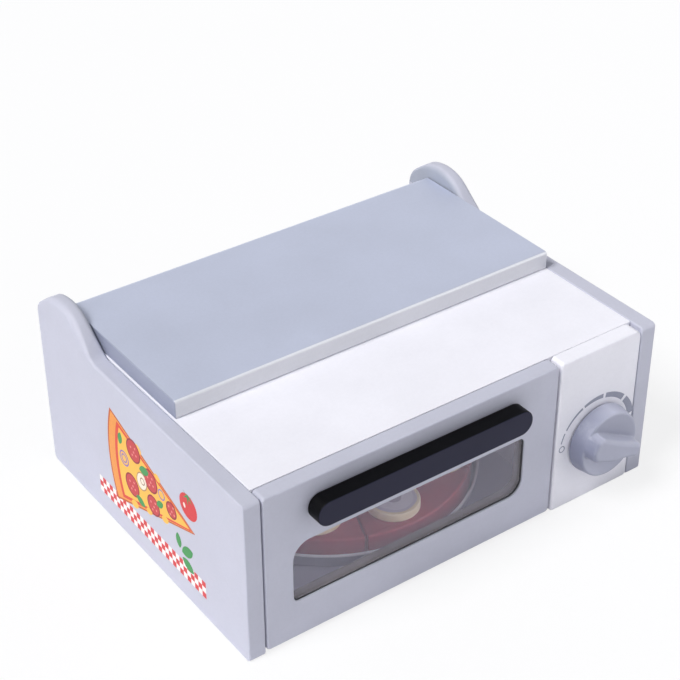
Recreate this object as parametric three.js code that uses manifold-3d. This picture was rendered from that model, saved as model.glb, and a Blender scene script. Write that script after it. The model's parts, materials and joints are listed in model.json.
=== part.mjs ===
// Toy pizza oven of painted board: a cabinet with a drop-down door at the front, a control panel with
// a turning knob beside it, and a lid hinged between the humps of the side panels.
// Millimetres. X runs to the right, Y to the rear and Z up. The origin is on the ground, in the middle
// of the cabinet's width and depth.
import * as THREE from 'three';
import { mergeVertices } from 'three/addons/utils/BufferGeometryUtils.js';
import Module from 'manifold-3d';

const wasm = await Module();
wasm.setup();
const { degToRad } = THREE.MathUtils;

// Cabinet, overall
const width = 255;
const depth = 197;
const counterHeight = 95.5;
const humpRise = 19.5;

// Side panels
const sideThickness = 9.6;
const humpRadius = 26;
const humpSetback = 26.35;
const frontRampAngle = degToRad(42.5);
const rearRampAngle = degToRad(37.5);
const valleyRadius = 8;
const sideCorner = 2.4;
const sideHeel = 4;
const rightRearCorner = 13;
const sideEdge = 1.5;

// Front and inner boards
const frontThickness = 8.6;
const glueLine = 0.1;
const easedEdge = 0.5;
const endFlat = 0.5;
const baseThickness = 9.6;
const toeClearance = 1;
const backThickness = 8;
const backSetback = 6;
const wallThickness = 9;
const ceilingThickness = 5;
const trayDepth = 19;

// Counter top and the topping tray below the lid
const counterThickness = 9.5;
const counterClearance = 0.3;
const counterEdge = 0.8;
const lidSlot = 19.3;
const traySideMargin = 20.4;
const trayLength = 71;
const trayCorner = 8;
const trayWall = 8.7;

// Lid
const lidThickness = 10.3;
const lidGap = 0.2;
const lidSideGap = 0.5;
const lidOverlap = 10;
const lidTail = 10;
const lidPinToCounter = 7.3;
const lidFrontEdge = 1.6;
const lidRearEdge = 4;
const lidEndEdge = 1.4;

// Pins, their seats and their running clearance
const pinPlay = 0.2;
const pinSeat = 0.1;
const lidPinRadius = 2;
const lidPinInLid = 12;
const lidPinInSide = 6;
const doorPinRadius = 1.5;
const doorPinInDoor = 14;
const doorPinInSide = 6;
const doorPinInPanel = 8;
const boreEndRoom = 0.5;

// Control panel
const panelWidth = 54.7;
const panelSideGap = 0.4;
const panelBottom = 0.3;
const panelEdge = 1.6;
const panelCorner = 2.2;
const panelOuterCorner = 5;
const panelLap = 1.7;

// Door
const doorSideGap = 0.8;
const doorPanelGap = 1.6;
const doorBottom = 2;
const doorTopDrop = 0.3;
const doorEdge = 1.8;
const doorCorner = 2.2;
const doorToe = 3;

// Window of the door
const windowLeftStile = 16.1;
const windowRightStile = 20.7;
const windowRailBelow = 22.6;
const windowRailAbove = 35.5;
const windowCorners = [3, 9, 3, 10];
const paneThickness = 2;
const paneRecess = 0.9;
const paneGap = 0.15;

// Handle and its screws
const handleLength = 129.5;
const handleHeight = 14.3;
const handleDepth = 9;
const handleEdge = 0.7;
const handleBelowTop = 16.95;
const screwFromEnd = 19.3;
const screwRadius = 1.5;
const screwHeadRadius = 3.2;
const screwHeadDepth = 2;
const screwInHandle = 5;
const screwTip = 1.5;
const screwPlay = 0.2;

// Door catch
const catchRadius = 3;
const magnetDepth = 4;
const strikeThickness = 1.5;

// Knob
const knobAcross = 29.05;
const knobHeight = 38.4;
const knobTurn = degToRad(22.6);
const knobRadius = 20.2;
const knobTaper = 1;
const knobRimHeight = 7.5;
const knobRimWidth = 1.8;
const knobRimRound = 0.9;
const knobDish = 3;
const knobFoot = 1.4;
const knobPlay = 0.5;
const gripInset = 2.2;
const gripWidth = 13.6;
const gripHeight = 16.5;
const gripRound = 2.2;
const gripWaist = 1.6;
const spindleRadius = 4;
const spindlePlay = 0.3;
const spindleInKnob = 6;
const collarRadius = 7.5;
const collarLength = 5;

// Pan, pizza slices and topping discs
const panHeight = 8.4;
const panWall = 1.2;
const panFlare = 0.8;
const panSideRoom = 18.4;
const panDepthRoom = 9.3;
const panToWall = 0.5;
const panToFront = 0.7;
const restGap = 0.2;
const sliceCount = 6;
const sliceToPan = 1.7;
const sliceThickness = 14;
const sliceGap = 0.9;
const sliceEdge = 2;
const firstCut = degToRad(-110.5);
const toppingRadius = 14;
const toppingThickness = 5;
const toppingEdge = 0.6;
const toppingCircleShare = 0.785;
const toppingAngles = [-91.5, -130.5, -47, 12, 78, 150].map(degToRad);

// Fineness of the round stretches
const arcStep = degToRad(15);
const turnSteps = 48;
const rodSteps = 24;
const dishSteps = 5;
const overrun = 2;

// Places that several pieces share
const left = -width / 2;
const front = -depth / 2;
const rear = depth / 2;
const innerLeft = left + sideThickness;
const innerRight = -innerLeft;
const innerWidth = innerRight - innerLeft;
const backFront = rear - backSetback - backThickness;
const humpHeight = counterHeight + humpRise;
const counterFront = front + frontThickness + counterClearance;
const counterRear = backFront - lidSlot;
const counterUnderside = counterHeight - counterThickness;
const trayRear = counterRear - trayWall;
const trayFront = trayRear - trayLength;
const ceilingTop = counterUnderside - trayDepth;
const ceilingUnderside = ceilingTop - ceilingThickness;
const lidPinY = counterRear + lidPinToCounter;
const lidPinZ = counterHeight + lidGap + lidThickness / 2;
const panelRight = innerRight - panelSideGap;
const panelLeft = panelRight - panelWidth;
const doorLeft = innerLeft + doorSideGap;
const doorRight = panelLeft - doorPanelGap;
const doorWidth = doorRight - doorLeft;
const doorHeight = counterHeight - doorTopDrop - doorBottom;
const hingeInset = frontThickness / 2;
const hingeRise = frontThickness / 2;
const hingeHeight = doorBottom + hingeRise;
const baseFront = front + frontThickness + toeClearance;
const catchHeight = counterHeight - counterThickness / 2;
const wallLeft = panelLeft + panelLap;

// Paint and materials
function finish(color, roughness, metalness = 0) {
  return new THREE.MeshStandardMaterial({ color, roughness, metalness });
}
const greyPaint = finish('#c3c6d6', 0.55);
const whitePaint = finish('#f1f2f7', 0.5);
const silverPaint = finish('#b4b9cc', 0.45);
const blackPaint = finish('#1d1e26', 0.4);
const knobPaint = finish('#a3a7bb', 0.5);
const redPaint = finish('#b8474e', 0.5);
const bareWood = finish('#e0c79c', 0.7);
const clearAcrylic = new THREE.MeshStandardMaterial({
  color: '#8f8c99',
  roughness: 0.1,
  transparent: true,
  opacity: 0.35,
});
const tinnedSteel = finish('#a9acb6', 0.35, 0.8);
const zincSteel = finish('#c4c6cc', 0.3, 1);

// An outline through corners [x, y, radius], given anticlockwise, each rounded by its radius.
function roundedPoints(corners) {
  return corners.flatMap(([x, y, radius], index) => {
    const corner = new THREE.Vector2(x, y);
    if (radius === 0) return [corner];
    const [lastX, lastY] = corners.at(index - 1);
    const [nextX, nextY] = corners[(index + 1) % corners.length];
    const back = new THREE.Vector2(lastX, lastY).sub(corner).normalize();
    const ahead = new THREE.Vector2(nextX, nextY).sub(corner).normalize();
    const halfAngle = Math.acos(back.dot(ahead)) / 2;
    const inward = back.clone().add(ahead).normalize();
    const centre = corner.clone().addScaledVector(inward, radius / Math.sin(halfAngle));
    const start = corner.clone().addScaledVector(back, radius / Math.tan(halfAngle)).sub(centre);
    const turn = Math.sign(ahead.cross(back)) * (Math.PI - 2 * halfAngle);
    const steps = Math.max(2, Math.ceil(Math.abs(turn) / arcStep));
    return Array.from({ length: steps + 1 }, (_, step) =>
      start.clone().rotateAround(new THREE.Vector2(), (turn * step) / steps).add(centre));
  });
}

// A rectangle's corners with one radius, or four in the order lower left, lower right, upper right,
// upper left.
function rectangle(x0, y0, x1, y1, radii) {
  const [a, b, c, d] = Array.isArray(radii) ? radii : [radii, radii, radii, radii];
  return [[x0, y0, a], [x1, y0, b], [x1, y1, c], [x0, y1, d]];
}

// A board with the outline in its X and Y, its thickness from Z zero upwards and its edges rounded.
function slab(outline, thickness, edge, edgeSteps = 2, holes = []) {
  const shape = new THREE.Shape(outline);
  holes.forEach((hole) => shape.holes.push(new THREE.Path(hole)));
  const geometry = new THREE.ExtrudeGeometry(shape, {
    depth: thickness - 2 * edge,
    bevelEnabled: edge > 0,
    bevelThickness: edge,
    bevelSize: edge,
    bevelOffset: -edge,
    bevelSegments: edgeSteps,
  });
  return geometry.translate(0, 0, edge);
}

// Turns a slab so that its outline lies in Y and Z and its thickness runs along X.
function acrossX(geometry) {
  const turn = new THREE.Matrix4().makeBasis(
    new THREE.Vector3(0, 1, 0),
    new THREE.Vector3(0, 0, 1),
    new THREE.Vector3(1, 0, 0),
  );
  return geometry.applyMatrix4(turn);
}

// Turns a slab so that its outline lies in X and Z and its thickness runs from Y zero to the rear.
function acrossY(geometry, thickness) {
  return geometry.rotateX(Math.PI / 2).translate(0, thickness, 0);
}

// A plain round rod between two points.
function rod(radius, start, end) {
  const axis = end.clone().sub(start);
  const geometry = new THREE.CylinderGeometry(radius, radius, axis.length(), rodSteps);
  const turn = new THREE.Quaternion().setFromUnitVectors(
    new THREE.Vector3(0, 1, 0),
    axis.clone().normalize(),
  );
  const middle = start.clone().add(end).multiplyScalar(1 / 2);
  return geometry.applyQuaternion(turn).translate(middle.x, middle.y, middle.z);
}

// A turned shape: points [radius, height] up the outside, from the axis round to the axis. Its axis is Z.
function turned(profile, steps = turnSteps) {
  const points = profile.map(([radius, height]) => new THREE.Vector2(radius, height));
  return new THREE.LatheGeometry(points, steps).rotateX(Math.PI / 2);
}

// Geometry to solid and back, for cutting and joining.
function toSolid(geometry) {
  const bare = geometry.clone();
  bare.deleteAttribute('normal');
  bare.deleteAttribute('uv');
  const merged = mergeVertices(bare);
  return new wasm.Manifold(new wasm.Mesh({
    numProp: 3,
    vertProperties: merged.attributes.position.array,
    triVerts: new Uint32Array(merged.index.array),
  }));
}
function toGeometry(solid) {
  const { vertProperties, triVerts } = solid.getMesh();
  const geometry = new THREE.BufferGeometry();
  geometry.setAttribute('position', new THREE.BufferAttribute(vertProperties, 3));
  geometry.setIndex(new THREE.BufferAttribute(triVerts, 1));
  geometry.computeVertexNormals();
  return geometry;
}
function cut(geometry, tools) {
  return toGeometry(tools.reduce((solid, tool) => solid.subtract(toSolid(tool)), toSolid(geometry)));
}
function join(first, second) {
  return toGeometry(toSolid(first).add(toSolid(second)));
}
function common(first, second) {
  return toGeometry(toSolid(first).intersect(toSolid(second)));
}

// Adds a named piece to its assembly.
function place(group, name, geometry, material, x = 0, y = 0, z = 0) {
  const piece = new THREE.Mesh(geometry, material);
  piece.name = name;
  piece.position.set(x, y, z);
  group.add(piece);
  return piece;
}
const point = (x, y, z) => new THREE.Vector3(x, y, z);

const oven = new THREE.Group();
const cabinet = new THREE.Group();
const door = new THREE.Group();
const lid = new THREE.Group();
const knobAssembly = new THREE.Group();
oven.add(cabinet, door, lid, knobAssembly);
door.position.set(0, front + hingeInset, hingeHeight);
lid.position.set(0, lidPinY, lidPinZ);
knobAssembly.position.set(panelLeft + knobAcross, front, knobHeight);
knobAssembly.rotation.y = knobTurn;

// Side panel outline: level in front, then a ramp up to a round hump that falls away to the rear edge,
// which meets it in a corner of the given radius.
function sideOutline(rearCorner) {
  const crownY = rear - humpSetback;
  const centreZ = humpHeight - humpRadius;
  const halfTurn = (frontRampAngle + rearRampAngle) / 2;
  const lean = (rearRampAngle - frontRampAngle) / 2;
  const apexReach = humpRadius / Math.cos(halfTurn);
  const apexY = crownY + apexReach * Math.sin(lean);
  const apexZ = centreZ + apexReach * Math.cos(lean);
  const rampFootY = apexY - (apexZ - counterHeight) / Math.tan(frontRampAngle);
  const rearTopZ = apexZ - (rear - apexY) * Math.tan(rearRampAngle);
  return roundedPoints([
    [front, 0, sideCorner],
    [rear, 0, sideHeel],
    [rear, rearTopZ, rearCorner],
    [apexY, apexZ, humpRadius],
    [rampFootY, counterHeight, valleyRadius],
    [front, counterHeight, sideCorner],
  ]);
}

// The right panel mirrors the left one but for a rounder rear corner, and only the left one takes a
// door pin.
function sidePanel(name, leftFace, innerFace, rearCorner, takesDoorPin) {
  const inward = Math.sign(-leftFace - sideThickness / 2);
  const pinBore = (radius, boreDepth, y, z) => rod(
    radius + pinPlay,
    point(innerFace + inward * overrun, y, z),
    point(innerFace - inward * (boreDepth + boreEndRoom), y, z),
  );
  const bores = [pinBore(lidPinRadius, lidPinInSide, lidPinY, lidPinZ)];
  if (takesDoorPin) bores.push(pinBore(doorPinRadius, doorPinInSide, front + hingeInset, hingeHeight));
  const panel = acrossX(slab(sideOutline(rearCorner), sideThickness, sideEdge));
  place(cabinet, name, cut(panel, bores), greyPaint, leftFace);
}
sidePanel('left_side_panel', left, sideThickness, sideHeel, true);
sidePanel('right_side_panel', innerRight, 0, rightRearCorner, false);

// A plain board with square corners and eased edges, from its lower corner.
function plainBoard(name, material, x0, x1, y0, y1, z0, z1) {
  const outline = roundedPoints(rectangle(0, 0, x1 - x0, y1 - y0, 0));
  place(cabinet, name, slab(outline, z1 - z0, easedEdge, 1), material, x0, y0, z0);
}
const boardLeft = innerLeft + glueLine;
const boardRight = innerRight - glueLine;
const boardRear = backFront - glueLine;
const wallFront = front + frontThickness + glueLine;
plainBoard('base_board', greyPaint, boardLeft, boardRight, baseFront, boardRear, 0, baseThickness);
plainBoard('back_board', greyPaint, boardLeft, boardRight, backFront, backFront + backThickness,
  0, counterHeight);
plainBoard('oven_ceiling', greyPaint, boardLeft, boardRight, counterFront, boardRear,
  ceilingUnderside, ceilingTop);
plainBoard('cavity_wall', greyPaint, wallLeft, wallLeft + wallThickness, wallFront, boardRear,
  baseThickness + glueLine, ceilingUnderside - glueLine);
plainBoard('tray_front_wall', whitePaint, boardLeft, boardRight, trayFront - trayWall, trayFront,
  ceilingTop + glueLine, counterUnderside - glueLine);
plainBoard('tray_rear_wall', whitePaint, boardLeft, boardRight, trayRear, counterRear,
  ceilingTop + glueLine, counterUnderside - glueLine);

// Counter top, cut out for the topping tray, with the door's magnet let into its front edge.
function counterTop() {
  const outline = roundedPoints(rectangle(boardLeft, counterFront, boardRight, counterRear, 0));
  const opening = roundedPoints(rectangle(
    innerLeft + traySideMargin,
    trayFront,
    innerRight - traySideMargin,
    trayRear,
    trayCorner,
  ));
  const board = slab(outline, counterThickness, counterEdge, 2, [opening]);
  const magnetX = (doorLeft + doorRight) / 2;
  const middle = counterThickness / 2;
  const seat = rod(
    catchRadius + pinSeat,
    point(magnetX, counterFront - overrun, middle),
    point(magnetX, counterFront + magnetDepth + pinSeat, middle),
  );
  place(cabinet, 'counter_top', cut(board, [seat]), whitePaint, 0, 0, counterUnderside);
  const magnet = rod(catchRadius, point(0, 0, 0), point(0, magnetDepth, 0));
  place(cabinet, 'door_magnet', magnet, zincSteel, magnetX, counterFront, catchHeight);
}
counterTop();

// Control panel: a thick white board with a bore for the spindle and one for the door's right pin.
function controlPanel() {
  const panelHeight = counterHeight - panelBottom;
  const radii = [panelCorner, panelCorner, panelOuterCorner, panelCorner];
  const outline = roundedPoints(rectangle(0, 0, panelWidth, panelHeight, radii));
  const board = acrossY(slab(outline, frontThickness, panelEdge), frontThickness);
  const axisZ = knobHeight - panelBottom;
  const pinZ = hingeHeight - panelBottom;
  const spindleBore = rod(
    spindleRadius + spindlePlay,
    point(knobAcross, -overrun, axisZ),
    point(knobAcross, frontThickness + overrun, axisZ),
  );
  const pinBore = rod(
    doorPinRadius + pinPlay,
    point(-overrun, hingeInset, pinZ),
    point(doorPinInPanel + boreEndRoom, hingeInset, pinZ),
  );
  place(cabinet, 'control_panel', cut(board, [spindleBore, pinBore]), whitePaint,
    panelLeft, front, panelBottom);
}
controlPanel();

// Pan with an upright wall, and the pizza in it: slices with gaps between them, and topping discs.
function pizza() {
  const cavityWidth = wallLeft - innerLeft;
  const cavityDepth = boardRear - baseFront;
  const panRadius = Math.min(cavityWidth - panSideRoom, cavityDepth - panDepthRoom) / 2;
  const panX = wallLeft - panToWall - panRadius;
  const panY = baseFront + panToFront + panRadius;
  const panZ = baseThickness + glueLine;
  const floorRadius = panRadius - panFlare;
  const pan = turned([
    [0, 0],
    [floorRadius, 0],
    [panRadius, panHeight],
    [panRadius - panWall, panHeight],
    [floorRadius - panWall, panWall],
    [0, panWall],
  ]);
  place(cabinet, 'pizza_pan', pan, tinnedSteel, panX, panY, panZ);

  const sliceAngle = (2 * Math.PI) / sliceCount;
  const sliceZ = panZ + panWall + restGap;
  const sliceRadius = floorRadius - panWall - sliceToPan;
  const halfAngle = sliceAngle / 2 - Math.asin(sliceGap / 2 / sliceRadius);
  const rimSteps = Math.ceil((2 * halfAngle) / arcStep) * 2;
  const rim = Array.from({ length: rimSteps + 1 }, (_, step) =>
    new THREE.Vector2(sliceRadius, 0)
      .rotateAround(new THREE.Vector2(), halfAngle * ((2 * step) / rimSteps - 1)));
  const tip = new THREE.Vector2(sliceGap / 2 / Math.sin(sliceAngle / 2), 0);
  for (let index = 0; index < sliceCount; index += 1) {
    const slice = slab([tip, ...rim], sliceThickness, sliceEdge);
    const piece = place(cabinet, `pizza_slice_${index + 1}`, slice, redPaint, panX, panY, sliceZ);
    piece.rotation.z = firstCut + sliceAngle * (index + 1 / 2);
  }

  const toppingCircle = sliceRadius * toppingCircleShare;
  const disc = turned([
    [0, 0],
    [toppingRadius - toppingEdge, 0],
    [toppingRadius, toppingEdge],
    [toppingRadius, toppingThickness - toppingEdge],
    [toppingRadius - toppingEdge, toppingThickness],
    [0, toppingThickness],
  ], rodSteps);
  toppingAngles.forEach((angle, index) => {
    const x = panX + toppingCircle * Math.cos(angle);
    const y = panY + toppingCircle * Math.sin(angle);
    place(cabinet, `topping_disc_${index + 1}`, disc, bareWood, x, y, sliceZ + sliceThickness + restGap);
  });
}
pizza();

// Door: a board with a rounded toe that clears the ground as it drops, cut out for the window pane.
// The cut-out's corners are rounder at the upper left and the lower right.
// Its pieces are laid out from the board's lower front corner and hung from the hinge axis.
function hang(name, geometry, material) {
  place(door, name, geometry, material, doorLeft, -hingeInset, -hingeRise);
}
function windowOutline(gap) {
  const roundest = (doorHeight - windowRailAbove - windowRailBelow) / 2 - endFlat;
  return roundedPoints(rectangle(
    windowLeftStile + gap,
    windowRailBelow + gap,
    doorWidth - windowRightStile - gap,
    doorHeight - windowRailAbove - gap,
    windowCorners.map((radius) => Math.min(radius, roundest) - gap),
  ));
}
const handleX = doorWidth / 2;
const handleZ = doorHeight - handleBelowTop;
const screwOffset = handleLength / 2 - screwFromEnd;
const screwPlaces = [
  ['handle_screw_left', handleX - screwOffset],
  ['handle_screw_right', handleX + screwOffset],
];
const strikeX = doorWidth / 2;
const strikeZ = catchHeight - doorBottom;

// A countersunk screw pointing to the front, from its head's flat face at Y zero.
function screw(extra) {
  const length = frontThickness + glueLine + screwInHandle;
  const shank = screwRadius + extra;
  return turned([
    [0, 0],
    [screwHeadRadius + extra, 0],
    [shank, screwHeadDepth],
    [shank, length - screwTip],
    [0, length],
  ], rodSteps).rotateX(Math.PI / 2);
}

function doorFrame() {
  const face = roundedPoints(rectangle(0, 0, doorWidth, doorHeight, doorCorner));
  const board = acrossY(
    slab(face, frontThickness, doorEdge, 2, [windowOutline(0)]),
    frontThickness,
  );
  const section = roundedPoints(rectangle(
    0,
    0,
    frontThickness,
    doorHeight + overrun,
    [doorToe, doorToe, 0, 0],
  ));
  const toe = acrossX(slab(section, doorWidth + 2 * overrun, 0)).translate(-overrun, 0, 0);
  const pinBore = (start, end) => rod(
    doorPinRadius + pinSeat,
    point(start, hingeInset, hingeRise),
    point(end, hingeInset, hingeRise),
  );
  const strikeSeat = rod(
    catchRadius + pinSeat,
    point(strikeX, frontThickness - strikeThickness - pinSeat, strikeZ),
    point(strikeX, frontThickness + overrun, strikeZ),
  );
  const boreDepth = doorPinInDoor + boreEndRoom;
  hang('door_frame', cut(common(board, toe), [
    pinBore(-overrun, boreDepth),
    pinBore(doorWidth - boreDepth, doorWidth + overrun),
    strikeSeat,
    ...screwPlaces.map(([, x]) => screw(screwPlay).translate(x, frontThickness, handleZ)),
  ]), greyPaint);
}
doorFrame();

// Clear pane, held in the cut-out just behind the door's face.
hang('door_window', acrossY(slab(windowOutline(paneGap), paneThickness, 0), paneThickness)
  .translate(0, paneRecess, 0), clearAcrylic);

// Bar handle with round ends, drawn on to the door's face by two screws from behind.
function handle() {
  const round = handleHeight / 2;
  const outline = roundedPoints(rectangle(0, 0, handleLength, handleHeight, round - endFlat));
  const bar = acrossY(slab(outline, handleDepth, handleEdge), 0)
    .translate(handleX - handleLength / 2, -glueLine, handleZ - round);
  const bores = screwPlaces.map(([, x]) => screw(pinSeat).translate(x, frontThickness, handleZ));
  hang('door_handle', cut(bar, bores), blackPaint);
  screwPlaces.forEach(([name, x]) =>
    hang(name, screw(0).translate(x, frontThickness, handleZ), zincSteel));
}
handle();

// Hinge pins at the door's lower corners, and the steel disc that meets the magnet.
hang('door_pin_left', rod(
  doorPinRadius,
  point(-doorSideGap - doorPinInSide, hingeInset, hingeRise),
  point(doorPinInDoor, hingeInset, hingeRise),
), zincSteel);
hang('door_pin_right', rod(
  doorPinRadius,
  point(doorWidth - doorPinInDoor, hingeInset, hingeRise),
  point(doorWidth + doorPanelGap + doorPinInPanel, hingeInset, hingeRise),
), zincSteel);
hang('door_strike', rod(
  catchRadius,
  point(strikeX, frontThickness - strikeThickness, strikeZ),
  point(strikeX, frontThickness, strikeZ),
), zincSteel);

// Lid: a board with a round tail behind its pins, so that it can swing up past upright.
function lidBoard() {
  const lidWidth = innerWidth - 2 * lidSideGap;
  const lidFront = trayFront - lidOverlap - lidPinY;
  const section = roundedPoints([
    [lidFront, -lidThickness / 2, lidFrontEdge],
    [lidTail, -lidThickness / 2, lidRearEdge],
    [lidTail, lidThickness / 2, lidRearEdge],
    [lidFront, lidThickness / 2, lidFrontEdge],
  ]);
  const board = acrossX(slab(section, lidWidth, lidEndEdge)).translate(-lidWidth / 2, 0, 0);
  const ends = [['lid_pin_left', -1], ['lid_pin_right', 1]];
  const bores = ends.map(([, side]) => rod(
    lidPinRadius + pinSeat,
    point(side * (lidWidth / 2 - lidPinInLid - boreEndRoom), 0, 0),
    point(side * (lidWidth / 2 + overrun), 0, 0),
  ));
  place(lid, 'lid_board', cut(board, bores), silverPaint);
  ends.forEach(([name, side]) => {
    const pin = rod(
      lidPinRadius,
      point(side * (lidWidth / 2 - lidPinInLid), 0, 0),
      point(side * (innerWidth / 2 + lidPinInSide), 0, 0),
    );
    place(lid, name, pin, zincSteel);
  });
}
lidBoard();

// Oven knob: a tapered round foot with a rim and a dished face, and a grip bar across it that narrows
// at its waist. It points to the front, and its bore takes the spindle.
function knob() {
  const rimRadius = knobRadius - knobTaper;
  const rimInner = rimRadius - knobRimWidth;
  const outside = roundedPoints([
    [0, 0, 0],
    [knobRadius, 0, knobRimRound],
    [knobRadius, knobFoot, knobRimRound / 2],
    [rimRadius, knobRimHeight, knobRimRound],
    [rimInner, knobRimHeight, 0],
  ]).map(({ x, y }) => [x, y]);
  const dishRadius = (rimInner ** 2 + knobDish ** 2) / (2 * knobDish);
  const dishAngle = Math.asin(rimInner / dishRadius);
  const dish = Array.from({ length: dishSteps }, (_, step) => {
    const angle = dishAngle * (1 - (step + 1) / dishSteps);
    return [dishRadius * Math.sin(angle), knobRimHeight - knobDish + dishRadius * (1 - Math.cos(angle))];
  });
  const foot = turned([...outside, ...dish]);
  const halfLength = knobRadius - gripInset;
  const waistRadius = 2 * halfLength;
  const halfWidth = gripWidth / 2;
  const waist = halfWidth - gripWaist;
  const halfCorner = (Math.PI / 2 - Math.atan(gripWaist / halfLength)) / 2;
  const end = (halfWidth - endFlat) * Math.tan(halfCorner);
  const outline = roundedPoints([
    [-halfLength, -halfWidth, end],
    [0, -waist, waistRadius],
    [halfLength, -halfWidth, end],
    [halfLength, halfWidth, end],
    [0, waist, waistRadius],
    [-halfLength, halfWidth, end],
  ]);
  const grip = slab(outline, gripHeight, gripRound, 3);
  const bore = rod(
    spindleRadius + pinSeat,
    point(0, 0, -overrun),
    point(0, 0, spindleInKnob + pinSeat),
  );
  const body = cut(join(foot, grip), [bore]).rotateX(Math.PI / 2);
  place(knobAssembly, 'knob', body, knobPaint, 0, -knobPlay, 0);

  const spindleLength = spindleInKnob + 2 * knobPlay + frontThickness + collarLength;
  const spindle = rod(spindleRadius, point(0, 0, 0), point(0, spindleLength, 0));
  place(knobAssembly, 'knob_spindle', spindle, bareWood, 0, -knobPlay - spindleInKnob, 0);
  const collarBore = rod(
    spindleRadius + pinSeat,
    point(0, -overrun, 0),
    point(0, collarLength + overrun, 0),
  );
  const collar = rod(collarRadius, point(0, 0, 0), point(0, collarLength, 0));
  place(knobAssembly, 'knob_collar', cut(collar, [collarBore]), bareWood,
    0, frontThickness + knobPlay, 0);
}
knob();

export default oven;
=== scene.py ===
import json
import math

import bmesh
import bpy
from mathutils import Matrix, Quaternion, Vector


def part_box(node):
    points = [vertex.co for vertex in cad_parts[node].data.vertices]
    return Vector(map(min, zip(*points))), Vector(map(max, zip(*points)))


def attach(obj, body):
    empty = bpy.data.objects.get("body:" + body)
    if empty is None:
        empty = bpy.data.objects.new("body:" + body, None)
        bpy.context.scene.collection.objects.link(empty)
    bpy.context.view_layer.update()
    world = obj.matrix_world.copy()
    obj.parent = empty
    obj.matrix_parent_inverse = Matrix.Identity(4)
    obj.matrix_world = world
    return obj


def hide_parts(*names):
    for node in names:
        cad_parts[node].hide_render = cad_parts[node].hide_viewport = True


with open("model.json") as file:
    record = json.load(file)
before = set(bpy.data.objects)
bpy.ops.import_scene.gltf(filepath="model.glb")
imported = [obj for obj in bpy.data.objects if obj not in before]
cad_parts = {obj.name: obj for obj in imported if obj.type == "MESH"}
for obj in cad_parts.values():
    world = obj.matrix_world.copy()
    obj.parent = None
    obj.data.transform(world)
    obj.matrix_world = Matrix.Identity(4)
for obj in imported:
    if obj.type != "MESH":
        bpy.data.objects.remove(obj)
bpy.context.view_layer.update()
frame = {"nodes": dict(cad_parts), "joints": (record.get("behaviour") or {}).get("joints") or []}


# Studio: a camera at the photograph's view, a pale floor, one broad lamp from the upper left with a
# weak one in front at the right, and a white surround that fills the shadows.
camera = bpy.data.objects.new("camera", bpy.data.cameras.new("camera"))
bpy.context.collection.objects.link(camera)
bpy.context.scene.camera = camera
camera.data.lens = 88.80
camera.data.clip_start = 0.05
camera.location = (-0.4275, -0.5925, 0.5730)
look_at = Vector((-0.0033, 0, 0.0829))
roll = math.radians(-0.23)
aim = (look_at - camera.location).to_track_quat("-Z", "Y")
camera.rotation_euler = (aim @ Quaternion((0, 0, 1), roll)).to_euler()

scene = bpy.context.scene
scene.view_settings.view_transform = "Standard"


def linear(hex_colour):
    """An sRGB hex colour as linear RGBA."""
    channels = [int(hex_colour[i:i + 2], 16) / 255 for i in (1, 3, 5)]
    return [c / 12.92 if c <= 0.04045 else ((c + 0.055) / 1.055) ** 2.4 for c in channels] + [1]


def add_node(tree, kind, inputs=None, **settings):
    """Adds a node. An input is a value, or another node's output that is linked to it."""
    node = tree.nodes.new(kind)
    for key, value in settings.items():
        setattr(node, key, value)
    for key, value in (inputs or {}).items():
        if isinstance(value, bpy.types.NodeSocket):
            tree.links.new(value, node.inputs[key])
        else:
            node.inputs[key].default_value = value
    return node


world = bpy.data.worlds.new("white_surround")
scene.world = world
world.use_nodes = True
surround = world.node_tree
surround.nodes.clear()
# Gloss mirrors a white sweep up to about 20 degrees above the floor, and a dim studio over it.
sweep_top, dim_from, ceiling_dimness = 0.30, 0.62, 0.28
surround_fill = 0.34
gaze = add_node(surround, "ShaderNodeTexCoord")
height = add_node(surround, "ShaderNodeSeparateXYZ", {0: gaze.outputs["Generated"]})
sweep = add_node(surround, "ShaderNodeMapRange",
                 {"Value": height.outputs["Z"], "From Min": sweep_top, "From Max": dim_from,
                  "To Min": 1.0, "To Max": ceiling_dimness})
rays = add_node(surround, "ShaderNodeLightPath")
direct = add_node(surround, "ShaderNodeMath",
                  {0: rays.outputs["Is Camera Ray"], 1: rays.outputs["Is Transmission Ray"]},
                  operation="MAXIMUM")
fill = add_node(surround, "ShaderNodeBackground",
                {"Color": linear("#F6F8FF"), "Strength": surround_fill})
mirrored = add_node(surround, "ShaderNodeBackground",
                    {"Color": linear("#FFFFFF"), "Strength": sweep.outputs[0]})
white = add_node(surround, "ShaderNodeBackground", {"Color": linear("#FFFFFF"), "Strength": 1.0})
in_gloss = add_node(surround, "ShaderNodeMixShader",
                    {0: rays.outputs["Is Glossy Ray"], 1: fill.outputs[0], 2: mirrored.outputs[0]})
in_view = add_node(surround, "ShaderNodeMixShader",
                   {0: direct.outputs[0], 1: in_gloss.outputs[0], 2: white.outputs[0]})
add_node(surround, "ShaderNodeOutputWorld", {"Surface": in_view.outputs[0]})

key = bpy.data.lights.new("key_lamp", "SUN")
key.energy = 2.6
key.angle = math.radians(24)
key_lamp = bpy.data.objects.new("key_lamp", key)
key_lamp.rotation_euler = Vector((0.61, 0.02, -0.79)).to_track_quat("-Z", "Y").to_euler()
bpy.context.collection.objects.link(key_lamp)
front = bpy.data.lights.new("front_lamp", "AREA")
front.energy = 1.3
front.size = 0.5
front_lamp = bpy.data.objects.new("front_lamp", front)
front_lamp.location = (0.62, -0.85, 0.55)
towards = Vector((0.05, 0, 0.05)) - front_lamp.location
front_lamp.rotation_euler = towards.to_track_quat("-Z", "Y").to_euler()
bpy.context.collection.objects.link(front_lamp)


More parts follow.
